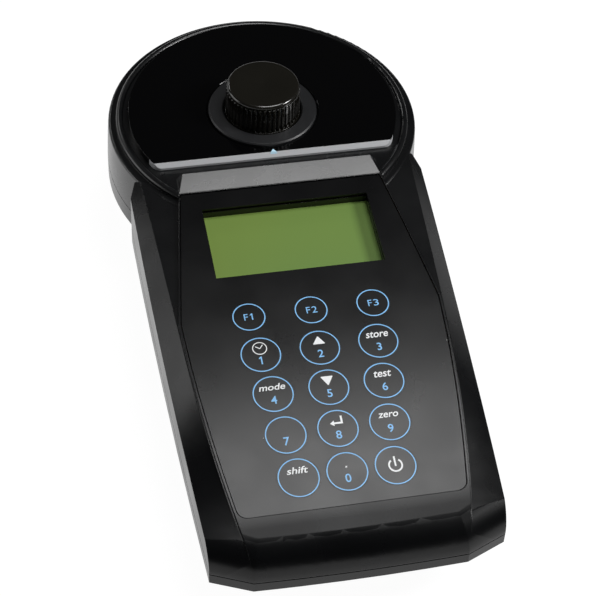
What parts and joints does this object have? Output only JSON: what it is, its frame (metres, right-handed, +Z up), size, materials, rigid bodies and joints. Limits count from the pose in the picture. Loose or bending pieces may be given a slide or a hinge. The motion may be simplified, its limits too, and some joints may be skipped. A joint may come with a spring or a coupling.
{
  "type": "colorimeter",
  "caption": "Hand-held colorimeter with a keypad body, a recessed display and a round head whose chamber takes a capped sample vial; keys press, the vial lifts out and the cap unscrews.",
  "frame": {"origin": "under the middle of the casing, on the surface its feet stand on", "axes": "+Z up, +Y from the chin to the head, +X to the user's right"},
  "size_m": [0.0972, 0.2056, 0.0554],
  "materials": {
    "case": "fine matte texture",
    "gloss_panel": "polished",
    "trim_ring": "satin",
    "overlay": "satin printed film",
    "display": "unlit reflective display",
    "light_guide": "clear",
    "board": "solder mask",
    "chip": "moulded",
    "film": "film",
    "chamber": "light-tight black",
    "lamp": "clear",
    "filter": "coated",
    "sensor": "polished",
    "steel": "plated",
    "cell": "wrapped can",
    "rubber": "soft",
    "clear_glass": "clear",
    "water": "clear",
    "cap": "moulded",
    "liner": "soft"
  },
  "bodies": {
    "casing": {"upper_housing": "case", "lower_housing": "case", "housing_seal": "rubber", "head_panel": "gloss_panel", "chamber_ring": "trim_ring", "sample_chamber": "chamber", "chamber_seal": "rubber", "light_sources": "lamp", "light_filters": "filter", "light_detectors": "sensor", "light_source_board": "board", "detector_board": "board", "keypad_overlay": "overlay", "keypad_spacer": "film", "keypad_circuit": "film", "switch_domes": "steel", "display_glass": "display", "display_light": "light_guide", "main_board": "board", "board_parts": "chip", "beeper": "chip", "board_screws": "steel", "battery_cells": "cell", "battery_contacts": "steel", "cover_seal": "rubber", "case_screws": "steel", "rubber_feet": "rubber"},
    "vial": {"vial_glass": "clear_glass", "water_sample": "water"},
    "cap": {"vial_cap": "cap", "cap_liner": "liner"},
    "battery_cover": {"battery_cover": "case"},
    "cover_screw_left": {"cover_screw_left": "steel"},
    "cover_screw_right": {"cover_screw_right": "steel"},
    "key_f1": {"key_f1": "overlay"},
    "key_f2": {"key_f2": "overlay"},
    "key_f3": {"key_f3": "overlay"},
    "key_1": {"key_1": "overlay"},
    "key_2": {"key_2": "overlay"},
    "key_3": {"key_3": "overlay"},
    "key_4": {"key_4": "overlay"},
    "key_5": {"key_5": "overlay"},
    "key_6": {"key_6": "overlay"},
    "key_7": {"key_7": "overlay"},
    "key_8": {"key_8": "overlay"},
    "key_9": {"key_9": "overlay"},
    "key_shift": {"key_shift": "overlay"},
    "key_0": {"key_0": "overlay"},
    "key_power": {"key_power": "overlay"}
  },
  "joints": [
    {"name": "key_f1_press", "type": "slide", "parent": "casing", "child": "key_f1", "axis": [0, 0.1093, -0.994], "range_m": [0, 0.0003], "stiffness_N_per_m": 2000},
    {"name": "key_f2_press", "type": "slide", "parent": "casing", "child": "key_f2", "axis": [0, 0.1093, -0.994], "range_m": [0, 0.0003], "stiffness_N_per_m": 2000},
    {"name": "key_f3_press", "type": "slide", "parent": "casing", "child": "key_f3", "axis": [0, 0.1093, -0.994], "range_m": [0, 0.0003], "stiffness_N_per_m": 2000},
    {"name": "key_1_press", "type": "slide", "parent": "casing", "child": "key_1", "axis": [0, 0.1299, -0.9915], "range_m": [0, 0.0003], "stiffness_N_per_m": 2000},
    {"name": "key_2_press", "type": "slide", "parent": "casing", "child": "key_2", "axis": [0, 0.1299, -0.9915], "range_m": [0, 0.0003], "stiffness_N_per_m": 2000},
    {"name": "key_3_press", "type": "slide", "parent": "casing", "child": "key_3", "axis": [0, 0.1299, -0.9915], "range_m": [0, 0.0003], "stiffness_N_per_m": 2000},
    {"name": "key_4_press", "type": "slide", "parent": "casing", "child": "key_4", "axis": [0, 0.1506, -0.9886], "range_m": [0, 0.0003], "stiffness_N_per_m": 2000},
    {"name": "key_5_press", "type": "slide", "parent": "casing", "child": "key_5", "axis": [0, 0.1506, -0.9886], "range_m": [0, 0.0003], "stiffness_N_per_m": 2000},
    {"name": "key_6_press", "type": "slide", "parent": "casing", "child": "key_6", "axis": [0, 0.1506, -0.9886], "range_m": [0, 0.0003], "stiffness_N_per_m": 2000},
    {"name": "key_7_press", "type": "slide", "parent": "casing", "child": "key_7", "axis": [0, 0.1712, -0.9852], "range_m": [0, 0.0003], "stiffness_N_per_m": 2000},
    {"name": "key_8_press", "type": "slide", "parent": "casing", "child": "key_8", "axis": [0, 0.1712, -0.9852], "range_m": [0, 0.0003], "stiffness_N_per_m": 2000},
    {"name": "key_9_press", "type": "slide", "parent": "casing", "child": "key_9", "axis": [0, 0.1712, -0.9852], "range_m": [0, 0.0003], "stiffness_N_per_m": 2000},
    {"name": "key_shift_press", "type": "slide", "parent": "casing", "child": "key_shift", "axis": [0, 0.1918, -0.9814], "range_m": [0, 0.0003], "stiffness_N_per_m": 2000},
    {"name": "key_0_press", "type": "slide", "parent": "casing", "child": "key_0", "axis": [0, 0.1918, -0.9814], "range_m": [0, 0.0003], "stiffness_N_per_m": 2000},
    {"name": "key_power_press", "type": "slide", "parent": "casing", "child": "key_power", "axis": [0, 0.1918, -0.9814], "range_m": [0, 0.0003], "stiffness_N_per_m": 2000},
    {"name": "vial_lift", "type": "slide", "parent": "casing", "child": "vial", "axis": [0, 0, 1], "range_m": [0, 0.045]},
    {"name": "cap_unscrew", "type": "hinge", "parent": "vial", "child": "cap", "pos_m": [0, 0.0542, 0.05], "axis": [0, 0, 1], "range_deg": [0, 540]},
    {"name": "battery_cover_drop", "type": "slide", "parent": "casing", "child": "battery_cover", "axis": [0, 0, -1], "range_m": [0, 0.015]},
    {"name": "cover_screw_left_turn", "type": "hinge", "parent": "battery_cover", "child": "cover_screw_left", "pos_m": [-0.022, -0.011, 0.003], "axis": [0, 0, -1], "continuous": true},
    {"name": "cover_screw_right_turn", "type": "hinge", "parent": "battery_cover", "child": "cover_screw_right", "pos_m": [0.022, -0.011, 0.003], "axis": [0, 0, -1], "continuous": true}
  ]
}
